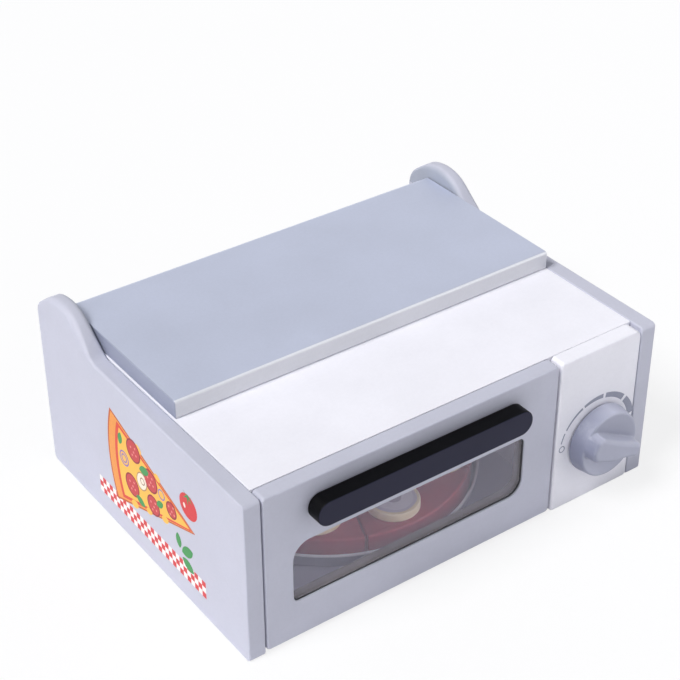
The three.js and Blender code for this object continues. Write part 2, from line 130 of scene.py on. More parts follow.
def blank_material(name):
    """A new material and its empty node tree."""
    material = bpy.data.materials.new(name)
    material.use_nodes = True
    material.node_tree.nodes.clear()
    return material, material.node_tree


bm = bmesh.new()
bmesh.ops.create_grid(bm, x_segments=1, y_segments=1, size=4)
mesh = bpy.data.meshes.new("floor")
bm.to_mesh(mesh)
bm.free()
floor = bpy.data.objects.new("floor", mesh)
bpy.context.collection.objects.link(floor)
paper, tree = blank_material("white_paper_floor")
glow_in_view = 0.8
rays = add_node(tree, "ShaderNodeLightPath")
matte = add_node(tree, "ShaderNodeBsdfDiffuse", {"Color": linear("#F7F7F9")})
glow = add_node(tree, "ShaderNodeEmission", {"Color": linear("#FFFFFF"), "Strength": 1.0})
lift = add_node(tree, "ShaderNodeMath", {0: rays.outputs["Is Camera Ray"], 1: glow_in_view},
                operation="MULTIPLY")
shown = add_node(tree, "ShaderNodeMixShader",
                 {0: lift.outputs[0], 1: matte.outputs[0], 2: glow.outputs[0]})
add_node(tree, "ShaderNodeOutputMaterial", {"Surface": shown.outputs[0]})
mesh.materials.append(paper)


# Side panels: 9.6 mm medium-density fibreboard, cut with a round hump at the rear that carries the
# lid's pins. The edges are sanded by hand, and then the board gets a sprayed satin paint. The
# hump's
# inner face is darker: painted shade.
mm = 0.001


def water_paint(name, hex_colour, roughness, painted_edge_tone=None, edge_tone_share=0.0, metallic=0.0, ior=1.48,
                painted_light_tones=()):
    """Sprayed water-based satin paint on sealed board: an even colour with a faint cloudiness and
    an orange peel of about 1 mm. An edge colour on rounded edges, in patches, paints light there:
    a painted highlight where it is paler, painted shade where it is darker. Faces can also have
    tones of their own by the way they face, which paint light or shade: each of the tones is a part
    of the normal (X, Y or Z, or its square XX, YY or ZZ), that part's two values where the tone
    begins and is full, and the colour there."""
    material, tree = blank_material(name)
    where = add_node(tree, "ShaderNodeTexCoord")
    place = where.outputs["Object"]
    clouds = add_node(tree, "ShaderNodeTexNoise",
                      {"Vector": place, "Scale": 1 / (38 * mm), "Detail": 3.0, "Roughness": 0.55})
    specks = add_node(tree, "ShaderNodeTexNoise",
                      {"Vector": place, "Scale": 1 / (1.6 * mm), "Detail": 2.0, "Roughness": 0.6})
    cloud_tone = add_node(tree, "ShaderNodeMapRange",
                          {"Value": clouds.outputs[0], "From Min": 0.3, "From Max": 0.7,
                           "To Min": 0.968, "To Max": 1.02})
    speck_tone = add_node(tree, "ShaderNodeMapRange",
                          {"Value": specks.outputs[0], "From Min": 0.3, "From Max": 0.7,
                           "To Min": 0.985, "To Max": 1.01})
    tone = add_node(tree, "ShaderNodeMath",
                    {0: cloud_tone.outputs[0], 1: speck_tone.outputs[0]}, operation="MULTIPLY")
    normal = add_node(tree, "ShaderNodeSeparateXYZ", {0: where.outputs["Normal"]})
    parts = {axis: normal.outputs[axis] for axis in "XYZ"}
    for axis in "XYZ":
        square = add_node(tree, "ShaderNodeMath", {0: parts[axis], 1: parts[axis]},
                          operation="MULTIPLY")
        parts[axis + axis] = square.outputs[0]
    colour = linear(hex_colour)
    # Each tone paints light or shade into the colour of faces that face one way.
    for part, begins, full, own_hex in painted_light_tones:
        share = add_node(tree, "ShaderNodeMapRange",
                         {"Value": parts[part], "From Min": begins, "From Max": full})
        layer = add_node(tree, "ShaderNodeMix",
                         {"Factor": share.outputs[0], 6: colour, 7: linear(own_hex)},
                         data_type="RGBA")
        colour = layer.outputs[2]
    coat = add_node(tree, "ShaderNodeMix", {"Factor": 1.0, 6: colour, 7: tone.outputs[0]},
                    data_type="RGBA", blend_type="MULTIPLY")
    colour = coat.outputs[2]
    # The edge colour paints light along rounded edges: highlights where paler, shade where darker.
    if painted_edge_tone:
        # A flat face's normal lies along one axis, so two sizeable parts mean a rounded edge.
        larger = add_node(tree, "ShaderNodeMath", {0: parts["XX"], 1: parts["YY"]},
                          operation="MAXIMUM")
        largest = add_node(tree, "ShaderNodeMath", {0: larger.outputs[0], 1: parts["ZZ"]},
                           operation="MAXIMUM")
        edge = add_node(tree, "ShaderNodeMapRange",
                        {"Value": largest.outputs[0], "From Min": 0.9, "From Max": 0.55,
                         "To Min": 0.0, "To Max": edge_tone_share})
        patchy = add_node(tree, "ShaderNodeTexNoise",
                          {"Vector": place, "Scale": 1 / (9 * mm), "Detail": 4.0,
                           "Roughness": 0.65})
        patches = add_node(tree, "ShaderNodeMapRange",
                           {"Value": patchy.outputs[0], "From Min": 0.42, "From Max": 0.68,
                            "To Min": 0.15, "To Max": 1.0})
        painted_edge_share = add_node(tree, "ShaderNodeMath", {0: edge.outputs[0], 1: patches.outputs[0]},
                           operation="MULTIPLY")
        with_painted_edge = add_node(tree, "ShaderNodeMix",
                        {"Factor": painted_edge_share.outputs[0], 6: colour, 7: linear(painted_edge_tone)},
                        data_type="RGBA")
        colour = with_painted_edge.outputs[2]
    peel = add_node(tree, "ShaderNodeTexNoise",
                    {"Vector": place, "Scale": 1 / (1.1 * mm), "Detail": 1.5, "Roughness": 0.5})
    bump = add_node(tree, "ShaderNodeBump",
                    {"Height": peel.outputs[0], "Strength": 0.16, "Distance": 0.06 * mm})
    gloss = add_node(tree, "ShaderNodeMapRange",
                     {"Value": clouds.outputs[0], "From Min": 0.3, "From Max": 0.7,
                      "To Min": roughness - 0.04, "To Max": roughness + 0.05})
    surface = add_node(tree, "ShaderNodeBsdfPrincipled",
                       {"Base Color": colour, "Roughness": gloss.outputs[0], "IOR": ior,
                        "Metallic": metallic, "Normal": bump.outputs[0]})
    add_node(tree, "ShaderNodeOutputMaterial", {"Surface": surface.outputs[0]})
    return material


def rounded_loop(bm, corners):
    """Adds a flat face in X and Y with corners (x, y, radius), and gives its edges."""
    step = math.radians(7.5)
    verts = [bm.verts.new((x, y, 0)) for x, y, _ in corners]
    bm.faces.new(verts)
    kept = verts[:]
    for index, (vert, (x, y, radius)) in enumerate(zip(verts, corners)):
        if not radius:
            continue
        corner = Vector((x, y))
        back = Vector(corners[index - 1][:2]) - corner
        ahead = Vector(corners[(index + 1) % len(corners)][:2]) - corner
        half = back.angle(ahead) / 2
        steps = max(4, math.ceil((math.pi - 2 * half) / step))
        made = bmesh.ops.bevel(bm, geom=[vert], offset=radius / math.tan(half),
                               offset_type="OFFSET", segments=steps, profile=0.5,
                               affect="VERTICES", material=-1)
        kept.remove(vert)
        kept += made["verts"]
    return list({edge for vert in kept for edge in vert.link_edges})


# Each turn lays a shape made in X and Y across its axis, with the other two in X, Y, Z order.
axis_turns = {
    "X": Matrix(((0, 0, 1, 0), (1, 0, 0, 0), (0, 1, 0, 0), (0, 0, 0, 1))),
    "Y": Matrix(((1, 0, 0, 0), (0, 0, 1, 0), (0, 1, 0, 0), (0, 0, 0, 1))),
    "Z": Matrix.Identity(4),
}


def sanded_board(corners, axis, start, end, rounding_at, steps=5):
    """A board whose outline lies across an axis, from start to end along it. Its edges are sanded
    by hand: the rounding varies with the place on the outline."""
    bm = bmesh.new()
    rounded_loop(bm, corners)
    bm.faces.ensure_lookup_table()
    outline = [v.co.xy for v in bm.faces[0].verts]
    bm.clear()
    insets = []
    for index, place in enumerate(outline):
        behind = (place - outline[index - 1]).normalized()
        ahead = (outline[(index + 1) % len(outline)] - place).normalized()
        inward = Vector((-behind.y - ahead.y, behind.x + ahead.x))
        insets.append(inward / (1 + behind.dot(ahead)))
    angles = [math.pi / 2 * i / steps for i in range(steps + 1)]
    rings = []
    for level, outward, turns in ((start, -1, reversed(angles)), (end, 1, angles)):
        for turn in turns:
            ring = []
            for place, inset in zip(outline, insets):
                radius = rounding_at(place)
                x, y = place + inset * radius * (1 - math.cos(turn))
                z = level - outward * radius * (1 - math.sin(turn))
                ring.append(bm.verts.new((x, y, z)))
            rings.append(ring)
    for near, far in zip(rings, rings[1:]):
        for index in range(len(outline)):
            bm.faces.new((near[index - 1], near[index], far[index], far[index - 1]))
    bm.faces.new(rings[0])
    bm.faces.new(rings[-1])
    bmesh.ops.transform(bm, matrix=axis_turns[axis], verts=bm.verts[:])
    return bm


def finish_piece(bm, name, material, body, slot, *nodes):
    """Makes the mesh an object that rides on its body, with flat faces kept flat in the shading."""
    bmesh.ops.recalc_face_normals(bm, faces=bm.faces[:])
    for face in bm.faces:
        face.smooth = True
    mesh = bpy.data.meshes.new(name)
    bm.to_mesh(mesh)
    bm.free()
    mesh.materials.append(material)
    piece = bpy.data.objects.new(name, mesh)
    bpy.context.collection.objects.link(piece)
    shading = piece.modifiers.new("flat_faces", "WEIGHTED_NORMAL")
    shading.weight = 100
    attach(piece, body)
    if nodes:
        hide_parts(*nodes)
    return piece


counter_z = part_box("counter_top")[1].z
front_y, rear_y = (corner.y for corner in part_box("left_side_panel"))
front_corner, rear_foot_corner = 2.4 * mm, 4 * mm
edge_rounding, hump_rounding, hump_rise = 0.8 * mm, 3.6 * mm, 9 * mm
rear_softness = 0.5
fade_start, fade_length, fade = 78 * mm, 14 * mm, 0.75


def side_outline(low, high, rear_corner):
    """Level in front, then a ramp up to a round hump that falls away to the rear edge."""
    front_ramp, rear_ramp = math.radians(42.5), math.radians(37.5)
    hump_radius, hump_setback, valley_radius = 26 * mm, 26.35 * mm, 8 * mm
    reach = hump_radius / math.cos((front_ramp + rear_ramp) / 2)
    lean = (rear_ramp - front_ramp) / 2
    apex_y = high.y - hump_setback + reach * math.sin(lean)
    apex_z = high.z - hump_radius + reach * math.cos(lean)
    return [
        (low.y, low.z, front_corner),
        (high.y, low.z, rear_foot_corner),
        (high.y, apex_z - (high.y - apex_y) * math.tan(rear_ramp), rear_corner),
        (apex_y, apex_z, hump_radius),
        (apex_y - (apex_z - counter_z) / math.tan(front_ramp), counter_z, valley_radius),
        (low.y, counter_z, front_corner),
    ]


def side_rounding(place):
    """Crisp in front, below and behind, softer to the rear along the top, and softest on the hump.
    The softness fades where the hump falls away to the rear edge."""
    behind = min(1, max(0, (place.x - fade_start) / fade_length))
    rise = min(1, max(0, (place.y - counter_z) / hump_rise))
    on_top = place.y > counter_z - mm / 10
    along = rear_softness * (place.x - front_y) / (rear_y - front_y) if on_top else 0
    soft = max(rise, along) * (1 - fade * behind)
    return edge_rounding + (hump_rounding - edge_rounding) * soft


grey_paint = water_paint("light_grey_water_paint", "#C5C6D4", 0.5)
# The left panel's face lies back by this much, so that the print's films stay inside its solid.
print_recess = 0.1 * mm
for side, recess, rear_corner, inward in (("left_side_panel", print_recess, 8 * mm, 1),
                                          ("right_side_panel", 0, 13 * mm, -1)):
    low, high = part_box(side)
    # Above the counter, the faces turned inward are darker: painted shade on the hump's inner face.
    paint = water_paint("light_grey_paint_with_painted_shade_" + side, "#C5C6D4", 0.5,
                        painted_light_tones=(("X", 0.4 * inward, 0.95 * inward, "#A6ABB8"),))
    shape = sanded_board(side_outline(low, high, rear_corner), "X", low.x + recess, high.x,
                         side_rounding)
    bmesh.ops.bisect_plane(shape, geom=shape.verts[:] + shape.edges[:] + shape.faces[:],
                           dist=mm / 1e4, plane_co=(0, 0, counter_z), plane_no=(0, 0, 1))
    for face in shape.faces:
        face.material_index = int(face.calc_center_median().z > counter_z)
    panel = finish_piece(shape, side + "_painted", grey_paint, "cabinet", "grey_paint", side)
    panel.data.materials.append(paint)


# Base, back, oven ceiling, cavity wall and tray walls: plain boards, glued between the side panels.
# They keep their solids, with the same paint as the outside, or white round the topping tray.
def dress_solid(node, material):
    """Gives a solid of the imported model, which is kept as it is, its real material."""
    materials = frame["nodes"][node].data.materials
    materials.clear()
    materials.append(material)


# Its rounded edges are a little darker: painted shade that dulls their highlights.
white_paint = water_paint("white_water_paint", "#F4F3FA", 0.46, "#E9EAEE", 0.3)
for node in ("base_board", "back_board"):
    dress_solid(node, grey_paint)
for node in ("oven_ceiling", "cavity_wall", "tray_front_wall", "tray_rear_wall"):
    dress_solid(node, white_paint)


# Counter top: a white painted board, glued between the side panels and cut out for the topping tray
# below the lid. Its edges are only just broken with sandpaper.
def rectangle(x0, y0, x1, y1, radii):
    """Corners in the order lower left, lower right, upper right, upper left."""
    a, b, c, d = radii if isinstance(radii, tuple) else (radii,) * 4
    return [(x0, y0, a), (x1, y0, b), (x1, y1, c), (x0, y1, d)]


def thicken(bm, thickness):
    """Extrudes flat shapes in X and Y upwards."""
    grown = bmesh.ops.extrude_face_region(bm, geom=bm.faces[:])["geom"]
    top = [v for v in grown if isinstance(v, bmesh.types.BMVert)]
    bmesh.ops.translate(bm, vec=(0, 0, thickness), verts=top)
    bmesh.ops.recalc_face_normals(bm, faces=bm.faces[:])


def board(corners, axis, start, end, edge, hole=None, steps=4, far_edge=None, hole_edge=None):
    """A board whose outline lies across an axis, from start to end along it, with rounded edges.
    The edges at the end and round the hole's start can have a rounding of their own."""
    bm = bmesh.new()
    loops = rounded_loop(bm, corners)
    outside = {(round(v.co.x / mm, 3), round(v.co.y / mm, 3)) for v in bm.verts}
    if hole:
        loops += rounded_loop(bm, hole)
        bmesh.ops.delete(bm, geom=bm.faces[:], context="FACES_ONLY")
        bmesh.ops.bridge_loops(bm, edges=loops)
    thicken(bm, end - start)
    far_edge = edge if far_edge is None else far_edge
    hole_edge = edge if hole_edge is None else hole_edge
    for level, outer, rounding in ((0, True, edge), (end - start, True, far_edge),
                                   (0, False, hole_edge), (end - start, False, far_edge)):
        rim = [e for e in bm.edges if e.calc_face_angle(0) > math.radians(60)
               and all(abs(v.co.z - level) < mm / 100 and outer == (
                   (round(v.co.x / mm, 3), round(v.co.y / mm, 3)) in outside) for v in e.verts)]
        if rounding and rim:
            bmesh.ops.bevel(bm, geom=rim, offset=rounding, offset_type="OFFSET", segments=steps,
                            profile=0.5, affect="EDGES", material=-1)
    bmesh.ops.translate(bm, vec=(0, 0, start), verts=bm.verts[:])
    bmesh.ops.transform(bm, matrix=axis_turns[axis], verts=bm.verts[:])
    return bm


low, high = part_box("counter_top")
tray_low_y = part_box("tray_front_wall")[1].y
tray_high_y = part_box("tray_rear_wall")[0].y
tray_margin, tray_corner = 20.3 * mm, 8 * mm
tray_opening = rectangle(low.x + tray_margin, tray_low_y, high.x - tray_margin, tray_high_y,
                         tray_corner)
shape = board(rectangle(low.x, low.y, high.x, high.y, radii=0.8 * mm), "Z", low.z, high.z,
              edge=0.4 * mm, hole=tray_opening)
finish_piece(shape, "counter_top_painted", white_paint, "cabinet", "white_paint", "counter_top")


# Lid: a board with a rounder rear edge, which swings down past the counter as the lid lifts. Its
# silver-grey paint holds metal powder. The ends are darker, the left one from its rounded edges on:
# painted shade. The front face is paler, and its rounded edges near white: painted light and
# painted highlights.
silver_paint = water_paint("silver_grey_paint_with_painted_light", "#CDD3E7", 0.42, metallic=0.35,
                           painted_light_tones=(("XX", 0.5, 0.95, "#A3A8BB"), ("Y", -0.2, -0.45, "#F6F8FF"),
                                  ("Y", -0.65, -0.92, "#DCDDE2"), ("X", -0.1, -0.6, "#A3A8BB")))
low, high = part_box("lid_board")
lid_corners = (0.6 * mm, 4 * mm, 4 * mm, 1.6 * mm)
shape = board(rectangle(low.y, low.z, high.y, high.z, lid_corners), "X", low.x, high.x,
              edge=0.6 * mm)
finish_piece(shape, "lid_board_painted", silver_paint, "lid", "silver_paint", "lid_board")


# Control panel: a thick white painted board beside the door, glued on to the cabinet's front. Its
# outer top corner is rounder than the others.
low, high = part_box("control_panel")
panel_corners = (2.2 * mm, 2.2 * mm, 5 * mm, 2.2 * mm)
shape = board(rectangle(low.x, low.z, high.x, high.z, panel_corners), "Y", low.y, high.y,
              edge=1.3 * mm, far_edge=0.3 * mm)
finish_piece(shape, "control_panel_painted", white_paint, "cabinet", "white_paint", "control_panel")


# Door: one grey painted board, cut out for the window, that drops about two pins at its foot.
# Its front edges are rounded with sandpaper, and behind the pane the cut stays bare fibreboard.
def bare_fibreboard(name, hex_light, hex_dark):
    """Sawn medium-density fibreboard: a matt brown felt of fibres, speckled at about 0.6 mm."""
    material, tree = blank_material(name)
    where = add_node(tree, "ShaderNodeTexCoord")
    fibres = add_node(tree, "ShaderNodeTexNoise",
                      {"Vector": where.outputs["Object"], "Scale": 1 / (0.6 * mm), "Detail": 3.0})
    colour = add_node(tree, "ShaderNodeMix",
                      {"Factor": fibres.outputs[0], 6: linear(hex_light), 7: linear(hex_dark)},
                      data_type="RGBA")
    surface = add_node(tree, "ShaderNodeBsdfPrincipled",
                       {"Base Color": colour.outputs[2], "Roughness": 0.85})
    add_node(tree, "ShaderNodeOutputMaterial", {"Surface": surface.outputs[0]})
    return material


low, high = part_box("door_frame")
pane_low, pane_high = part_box("door_window")
pane_gap = 0.15 * mm
window_corners = (3 * mm, 9 * mm, 3 * mm, 10 * mm)
opening = rectangle(pane_low.x - pane_gap, pane_low.z - pane_gap,
                    pane_high.x + pane_gap, pane_high.z + pane_gap, window_corners)
shape = board(rectangle(low.x, low.z, high.x, high.z, radii=2.2 * mm), "Y", low.y, high.y,
              edge=1.1 * mm, hole=opening, far_edge=0.3 * mm, hole_edge=0.6 * mm)
bmesh.ops.bisect_plane(shape, geom=shape.verts[:] + shape.edges[:] + shape.faces[:],
                       dist=mm / 1e4, plane_co=(0, pane_high.y, 0), plane_no=(0, 1, 0))
for face in shape.faces:
    place = face.calc_center_median()
    in_opening = (pane_low.x - mm < place.x < pane_high.x + mm
                  and pane_low.z - mm < place.z < pane_high.z + mm)
    face.material_index = int(in_opening and place.y > pane_high.y and abs(face.normal.y) < 0.5)
door = finish_piece(shape, "door_frame_painted", grey_paint, "door", "grey_paint", "door_frame")
door.data.materials.append(bare_fibreboard("bare_fibreboard", "#807871", "#625C57"))


# Window pane: 2 mm cast acrylic, clear with a grey cast, cut from sheet. It is glued into the
# opening just behind the door's face.
def cast_acrylic(name, hex_colour):
    """Clear cast acrylic sheet: polished faces with a violet glint, a slight tint, and lamps shine
    through it."""
    material, tree = blank_material(name)
    rays = add_node(tree, "ShaderNodeLightPath")
    sheet = add_node(tree, "ShaderNodeBsdfPrincipled",
                     {"Base Color": linear(hex_colour), "Roughness": 0.03, "IOR": 1.49,
                      "Specular Tint": linear("#E2DEFF"), "Transmission Weight": 0.97})
    clear = add_node(tree, "ShaderNodeBsdfTransparent", {"Color": linear(hex_colour)})
    surface = add_node(tree, "ShaderNodeMixShader",
                       {0: rays.outputs["Is Shadow Ray"], 1: sheet.outputs[0], 2: clear.outputs[0]})
    add_node(tree, "ShaderNodeOutputMaterial", {"Surface": surface.outputs[0]})
    return material


clear_acrylic = cast_acrylic("grey_cast_acrylic", "#FBFAFF")
shape = board(rectangle(pane_low.x, pane_low.z, pane_high.x, pane_high.z, window_corners),
              "Y", pane_low.y, pane_high.y, edge=0.2 * mm, steps=2)
finish_piece(shape, "door_pane", clear_acrylic, "door", "clear_acrylic", "door_window")


# Shadow line: a thin, nearly black strip round the pane's edge, a painted shadow in the gap between
# pane and door. It is widest below and at the right.
def shadow_line_material(name, hex_colour, hex_lump):
    """A nearly black satin strip that paints a shadow, with a lumpy skin at about 1 mm."""
    material, tree = blank_material(name)
    where = add_node(tree, "ShaderNodeTexCoord")
    lumps = add_node(tree, "ShaderNodeTexNoise",
                     {"Vector": where.outputs["Object"], "Scale": 1 / (1.2 * mm), "Detail": 2.0})
    tone = add_node(tree, "ShaderNodeMix",
                    {"Factor": lumps.outputs[0], 6: linear(hex_colour), 7: linear(hex_lump)},
                    data_type="RGBA")
    bump = add_node(tree, "ShaderNodeBump",
                    {"Height": lumps.outputs[0], "Strength": 0.3, "Distance": 0.1 * mm})
    surface = add_node(tree, "ShaderNodeBsdfPrincipled",
                       {"Base Color": tone.outputs[2], "Roughness": 0.55,
                        "Normal": bump.outputs[0]})
    add_node(tree, "ShaderNodeOutputMaterial", {"Surface": surface.outputs[0]})
    return material


shadow_line_paint = shadow_line_material("nearly_black_shadow_line", "#0C0C10", "#2A2A30")
# The widths of the painted shadow strip round the pane, and how far it stands proud and sinks.
shade_left, shade_below, shade_right, shade_above = 0.2 * mm, 0.7 * mm, 0.9 * mm, 0.2 * mm
shade_proud, shade_sunk = 0.15 * mm, 0.05 * mm
shade_inside = rectangle(pane_low.x + shade_left, pane_low.z + shade_below,
                        pane_high.x - shade_right, pane_high.z - shade_above,
                        tuple(corner - shade_left for corner in window_corners))
shape = board(opening, "Y", pane_low.y - shade_proud, pane_low.y + shade_sunk, edge=0,
              hole=shade_inside)
finish_piece(shape, "pane_shadow_line", shadow_line_paint, "door", "black_paint")


# Handle: a round-ended bar of wood in black satin paint, screwed flat on to the door from behind.
# Its top and ends are near black and its front face greyer: painted shade and painted reflection.
black_paint = water_paint("black_satin_with_painted_reflection", "#29293C", 0.45, ior=1.22,
                          painted_light_tones=(("YY", 0.8, 0.25, "#040406"),))
low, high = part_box("door_handle")
end_flat = 0.4 * mm
end_round = (high.z - low.z - end_flat) / 2
shape = board(rectangle(low.x, low.z, high.x, high.z, end_round), "Y", low.y, high.y,
              edge=0.7 * mm)
finish_piece(shape, "door_handle_painted", black_paint, "door", "black_paint", "door_handle")


# Hinge pins, handle screws, magnet and its strike: zinc-plated steel, pressed or screwed into the
# boards. They keep their solids.
def zinc_plate(name, hex_colour, roughness):
    """Bright zinc plating: a cool metal, mottled in brightness and gloss at about 0.7 mm."""
    material, tree = blank_material(name)
    where = add_node(tree, "ShaderNodeTexCoord")
    fine = add_node(tree, "ShaderNodeTexNoise",
                    {"Vector": where.outputs["Object"], "Scale": 1 / (0.7 * mm), "Detail": 4.0})
    tone = add_node(tree, "ShaderNodeMapRange",
                    {"Value": fine.outputs[0], "To Min": 0.8, "To Max": 1.05})
    colour = add_node(tree, "ShaderNodeMix",
                      {"Factor": 1.0, 6: linear(hex_colour), 7: tone.outputs[0]},
                      data_type="RGBA", blend_type="MULTIPLY")
    gloss = add_node(tree, "ShaderNodeMapRange",
                     {"Value": fine.outputs[0], "To Min": roughness - 0.08,
                      "To Max": roughness + 0.12})
    surface = add_node(tree, "ShaderNodeBsdfPrincipled",
                       {"Base Color": colour.outputs[2], "Metallic": 1.0,
                        "Roughness": gloss.outputs[0]})
    add_node(tree, "ShaderNodeOutputMaterial", {"Surface": surface.outputs[0]})
    return material


zinc = zinc_plate("zinc_plated_steel", "#C6C8CE", 0.32)
for node in ("door_pin_left", "door_pin_right", "handle_screw_left", "handle_screw_right",
             "door_magnet", "door_strike", "lid_pin_left", "lid_pin_right"):
    dress_solid(node, zinc)


# Knob: turned and carved wood under grey paint, a tapered round foot with a rim and a shallow
# dished face, and a grip bar that is wide at one end and narrow at the other. Both are carved from
# one piece, so they are blended here as one body.
def turned(profile, steps):
    """A shape turned about Z from points (radius, height), the first and last on the axis."""
    bm = bmesh.new()
    verts = [bm.verts.new((r, 0, z)) for r, z in profile]
    for a, b in zip(verts, verts[1:]):
        bm.edges.new((a, b))
    bmesh.ops.spin(bm, geom=bm.verts[:] + bm.edges[:], cent=(0, 0, 0), axis=(0, 0, 1),
                   angle=2 * math.pi, steps=steps, use_merge=True)
    bmesh.ops.remove_doubles(bm, verts=bm.verts[:], dist=mm / 1000)
    return bm


# The sides that face left and down are darker: painted shade. Its rounded edges are paler:
# painted highlights.
knob_paint = water_paint("knob_grey_paint_with_painted_light", "#B9BBCC", 0.42, "#C2C5D3", 0.3,
                         painted_light_tones=(("X", 0.1, -0.6, "#82859A"), ("Z", 0.1, -0.8, "#7F8295")))
knob_axis = next(Vector(j["pos_m"]) for j in frame["joints"] if j["name"] == "knob_turn")
low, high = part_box("knob")
foot_radius, foot_band, foot_edge = 20.2 * mm, 1.6 * mm, 0.5 * mm
rim_radius, rim_height, rim_width = 19.1 * mm, 9.5 * mm, 1.3 * mm
dish_radius, dish_depth, dish_steps = rim_radius - rim_width, 0.8 * mm, 8
dish_curve = (dish_radius ** 2 + dish_depth ** 2) / (2 * dish_depth)
profile = [(0, 0), (foot_radius - foot_edge, 0), (foot_radius, foot_edge),
           (foot_radius, foot_band), (rim_radius, rim_height - foot_edge),
           (rim_radius - foot_edge, rim_height), (dish_radius, rim_height)]
for step in range(1, dish_steps + 1):
    r = dish_radius * (1 - step / dish_steps)
    dip = dish_depth - dish_curve + math.sqrt(dish_curve ** 2 - r ** 2)
    profile.append((r, rim_height - dip))
bm = turned(profile, steps=96)
foot = bpy.data.meshes.new("knob_foot")
bm.to_mesh(foot)
bm.free()

# The grip's outline at its top, with places and corner radii in millimetres. Towards its root it
# flares by a share of its length, and by more of its width.
grip_outline = ((-17.9, -2.6, 4), (-14.6, -7, 4), (0.5, -6.9, 12), (7.5, -4.8, 14),
                (17.6, -3.6, 2.2), (17.6, 3.6, 2.2), (7, 4.4, 20), (-3, 5.3, 20),
                (-13.6, 6.8, 3.2), (-17.4, 4.6, 2.6), (-18, 1, 8))
grip_flare, grip_width_flare = 0.127, 0.1905
grip_root, grip_height = 1 * mm, high.y - low.y
grip_tilt = math.radians(22.6)
shape = board([(x * mm, y * mm, r * mm) for x, y, r in grip_outline], "Z", grip_root, grip_height,
              edge=0, far_edge=1.8 * mm)
for vert in shape.verts:
    depth = 1 - vert.co.z / grip_height
    vert.co.x *= 1 + grip_flare * depth
    vert.co.y *= 1 + grip_width_flare * depth
shape.from_mesh(foot)
bmesh.ops.recalc_face_normals(shape, faces=shape.faces[:])
on_panel = Matrix.Translation(Vector((knob_axis.x, high.y, knob_axis.z)))
turn = Matrix.Rotation(grip_tilt, 4, "Y") @ Matrix.Rotation(math.pi / 2, 4, "X")
bmesh.ops.transform(shape, matrix=on_panel @ turn, verts=shape.verts[:])
knob = finish_piece(shape, "knob_carved", knob_paint, "knob", "knob_paint", "knob")
knob.modifiers.clear()
blend = knob.modifiers.new("one_body", "REMESH")
blend.mode = "VOXEL"
blend.voxel_size = 0.32 * mm
blend.use_smooth_shade = True
soften = knob.modifiers.new("sanded", "SMOOTH")
soften.factor = 0.5
soften.iterations = 12


# Knob spindle and collar: a bare beech dowel and ring. The spindle is glued into the knob and runs
# through the panel, and the collar is glued on behind the panel and keeps both in place.
def bare_wood(name, hex_light, hex_dark):
    """Sanded light wood: long grain lines about 1.5 mm apart and short pores along them."""
    grain_width, grain_length = 1.5 * mm, 26 * mm
    material, tree = blank_material(name)
    where = add_node(tree, "ShaderNodeTexCoord")
    stretch = add_node(tree, "ShaderNodeMapping",
                       {"Vector": where.outputs["Object"],
                        "Scale": (1 / grain_length, 1 / grain_width, 1 / grain_width)})
    grain = add_node(tree, "ShaderNodeTexNoise",
                     {"Vector": stretch.outputs[0], "Scale": 1.0, "Detail": 4.0, "Roughness": 0.6})
    pores = add_node(tree, "ShaderNodeTexNoise",
                     {"Vector": stretch.outputs[0], "Scale": 4.0, "Detail": 2.0})
    colour = add_node(tree, "ShaderNodeMix",
                      {"Factor": grain.outputs[0], 6: linear(hex_light), 7: linear(hex_dark)},
                      data_type="RGBA")
    bump = add_node(tree, "ShaderNodeBump",
                    {"Height": pores.outputs[0], "Strength": 0.2, "Distance": 0.08 * mm})
    surface = add_node(tree, "ShaderNodeBsdfPrincipled",
                       {"Base Color": colour.outputs[2], "Roughness": 0.62,
                        "Normal": bump.outputs[0]})
    add_node(tree, "ShaderNodeOutputMaterial", {"Surface": surface.outputs[0]})
    return material


beech = bare_wood("sanded_beech", "#E6CFA6", "#C9A872")
dress_solid("knob_spindle", beech)
dress_solid("knob_collar", beech)


# Dial marks: slate ink screen-printed on the control panel, a ring at the off mark and an arc that
# thickens step by step clockwise round the knob.
def printing_ink(name, hex_colour):
    """Matt screen-printing ink: an even film whose tone varies a little with the mesh, in spots
    of about 0.8 mm, drawn coarser than the real mesh so that it shows."""
    material, tree = blank_material(name)
    where = add_node(tree, "ShaderNodeTexCoord")
    film = add_node(tree, "ShaderNodeTexNoise",
                    {"Vector": where.outputs["Object"], "Scale": 1 / (0.8 * mm), "Detail": 3.0})
    tone = add_node(tree, "ShaderNodeMapRange",
                    {"Value": film.outputs[0], "From Min": 0.3, "From Max": 0.7,
                     "To Min": 0.93, "To Max": 1.03})
    colour = add_node(tree, "ShaderNodeMix",
                      {"Factor": 1.0, 6: linear(hex_colour), 7: tone.outputs[0]},
                      data_type="RGBA", blend_type="MULTIPLY")
    surface = add_node(tree, "ShaderNodeBsdfPrincipled",
                       {"Base Color": colour.outputs[2], "Roughness": 0.55, "IOR": 1.5})
    add_node(tree, "ShaderNodeOutputMaterial", {"Surface": surface.outputs[0]})
    return material


